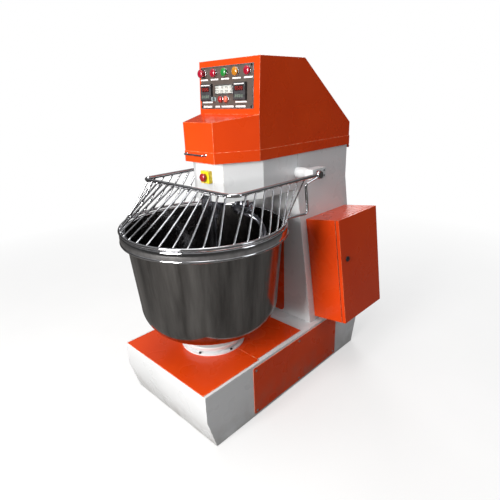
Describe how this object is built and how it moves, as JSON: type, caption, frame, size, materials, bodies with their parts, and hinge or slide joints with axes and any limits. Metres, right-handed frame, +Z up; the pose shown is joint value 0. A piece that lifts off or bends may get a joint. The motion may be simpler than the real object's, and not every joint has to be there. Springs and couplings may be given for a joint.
{
  "type": "spiral dough mixer",
  "caption": "Floor-standing spiral dough mixer with a turning steel bowl, lifting wire guard, slanted column, control hood and side electrical box.",
  "frame": {"origin": "on the floor under the bowl's axis", "axes": "+X to the machine's right seen from behind the camera side, +Y back towards the column, +Z up"},
  "size_m": [0.8211, 1.2459, 1.537],
  "materials": {
    "orange_paint": "gloss",
    "white_paint": "gloss",
    "plate_steel": "mill finish",
    "bright_steel": "plated",
    "bowl_steel": "polished",
    "tool_steel": "polished",
    "chrome": "bright",
    "cast_iron": "as cast",
    "dark_steel": "blackened",
    "motor_grey": "satin",
    "black_rubber": "matte",
    "black_plastic": "satin",
    "grey_plastic": "satin",
    "yellow_plastic": "gloss",
    "panel_brown": "satin",
    "label_white": "satin",
    "red_plastic": "gloss",
    "dark_red_plastic": "gloss",
    "green_plastic": "gloss",
    "amber_plastic": "gloss",
    "orange_plastic": "gloss",
    "teal_plastic": "gloss"
  },
  "bodies": {
    "frame": {"base_shell": "white_paint", "base_floor_plate": "plate_steel", "front_deck_plate": "orange_paint", "rear_deck_plate": "orange_paint", "side_panel_right": "orange_paint", "side_panel_left": "orange_paint", "cover_screws": "bright_steel", "column_shell": "white_paint", "column_front_panel": "orange_paint", "rear_cover": "white_paint", "head_casing": "white_paint", "bowl_bearing_housing": "white_paint", "shaft_bearings": "bright_steel", "bowl_motor": "motor_grey", "bowl_belt": "black_rubber", "spiral_bearing_housing": "white_paint", "spiral_motor": "motor_grey", "spiral_belt": "black_rubber", "breaker_bar": "tool_steel", "machine_bolts": "dark_steel", "estop_box": "yellow_plastic", "guard_pivot_mounts": "white_paint", "guard_spindles": "chrome", "electrical_box": "orange_paint", "contactor_plate": "grey_plastic", "box_seal": "black_rubber", "cable_gland": "black_plastic", "fixed_hinge_leaves": "bright_steel", "hinge_pins": "bright_steel"},
    "hood": {"hood_cover": "orange_paint", "hood_handle": "chrome", "control_plate": "panel_brown", "control_plate_screws": "chrome", "label_strips": "label_white", "button_bezels": "chrome", "timers": "black_plastic", "display_unit": "grey_plastic"},
    "guard": {"guard_frame": "chrome", "guard_bars": "chrome"},
    "bowl": {"bowl_shell": "bowl_steel", "bowl_rim": "chrome", "bowl_turntable": "white_paint", "bowl_shaft": "plate_steel", "bowl_pulley": "cast_iron"},
    "bowl_motor_rotor": {"bowl_motor_pulley": "cast_iron"},
    "spiral": {"spiral_shaft": "tool_steel", "spiral_hook": "tool_steel", "spiral_pulley": "cast_iron"},
    "spiral_motor_rotor": {"spiral_motor_pulley": "cast_iron"},
    "box_door": {"box_door": "orange_paint"},
    "box_lock": {"door_lock": "black_plastic"},
    "estop_button": {"estop_button": "dark_red_plastic"},
    "stop_button": {"stop_button": "red_plastic"},
    "red_button": {"red_button": "red_plastic"},
    "green_button": {"green_button": "green_plastic"},
    "amber_button": {"amber_button": "amber_plastic"},
    "mixer_button": {"mixer_button": "red_plastic"},
    "left_push_button": {"left_push_button": "dark_red_plastic"},
    "right_push_button": {"right_push_button": "orange_plastic"},
    "selector_knob": {"selector_knob": "teal_plastic"}
  },
  "joints": [
    {"name": "bowl_spin", "type": "hinge", "parent": "frame", "child": "bowl", "pos_m": [0, 0, 0.3], "axis": [0, 0, 1], "continuous": true},
    {"name": "bowl_motor_spin", "type": "hinge", "parent": "frame", "child": "bowl_motor_rotor", "pos_m": [0, 0.6, 0.1], "axis": [0, 0, 1], "continuous": true},
    {"name": "spiral_spin", "type": "hinge", "parent": "frame", "child": "spiral", "pos_m": [0.072, 0.17, 0.95], "axis": [0, 0, 1], "continuous": true},
    {"name": "spiral_motor_spin", "type": "hinge", "parent": "frame", "child": "spiral_motor_rotor", "pos_m": [0, 0.64, 1.19], "axis": [0, 0, 1], "continuous": true},
    {"name": "guard_lift", "type": "hinge", "parent": "frame", "child": "guard", "pos_m": [0, 0.428, 1.05], "axis": [-1, 0, 0], "range_deg": [0, 55]},
    {"name": "hood_lift", "type": "hinge", "parent": "frame", "child": "hood", "pos_m": [0, 0.8625, 1.125], "axis": [-1, 0, 0], "range_deg": [0, 60]},
    {"name": "box_door_swing", "type": "hinge", "parent": "frame", "child": "box_door", "pos_m": [0.40357, 0.829, 0.59013], "axis": [-0.1283, 0, 0.9917], "range_deg": [0, 110]},
    {"name": "box_lock_turn", "type": "hinge", "parent": "box_door", "child": "box_lock", "pos_m": [0.39293, 0.522, 0.64119], "axis": [0.9917, 0, 0.1283], "range_deg": [0, 90]},
    {"name": "estop_press", "type": "slide", "parent": "frame", "child": "estop_button", "axis": [0, 1, 0], "range_m": [0, 0.004], "stiffness_N_per_m": 400},
    {"name": "stop_press", "type": "slide", "parent": "hood", "child": "stop_button", "axis": [0, 0.9982, -0.0595], "range_m": [0, 0.004], "stiffness_N_per_m": 400},
    {"name": "red_press", "type": "slide", "parent": "hood", "child": "red_button", "axis": [0, 0.9982, -0.0595], "range_m": [0, 0.004], "stiffness_N_per_m": 400},
    {"name": "green_press", "type": "slide", "parent": "hood", "child": "green_button", "axis": [0, 0.9982, -0.0595], "range_m": [0, 0.004], "stiffness_N_per_m": 400},
    {"name": "amber_press", "type": "slide", "parent": "hood", "child": "amber_button", "axis": [0, 0.9982, -0.0595], "range_m": [0, 0.004], "stiffness_N_per_m": 400},
    {"name": "mixer_press", "type": "slide", "parent": "hood", "child": "mixer_button", "axis": [0, 0.9982, -0.0595], "range_m": [0, 0.004], "stiffness_N_per_m": 400},
    {"name": "left_push_press", "type": "slide", "parent": "hood", "child": "left_push_button", "axis": [0, 0.9982, -0.0595], "range_m": [0, 0.004], "stiffness_N_per_m": 400},
    {"name": "right_push_press", "type": "slide", "parent": "hood", "child": "right_push_button", "axis": [0, 0.9982, -0.0595], "range_m": [0, 0.004], "stiffness_N_per_m": 400},
    {"name": "selector_turn", "type": "hinge", "parent": "hood", "child": "selector_knob", "pos_m": [-0.0795, 0.16964, 1.38019], "axis": [0, -0.9982, 0.0595], "range_deg": [-45, 45]}
  ],
  "couplings": [
    {"joint": "bowl_motor_spin", "follows": "bowl_spin", "ratio": 5.5685},
    {"joint": "spiral_motor_spin", "follows": "spiral_spin", "ratio": 2.1628}
  ]
}
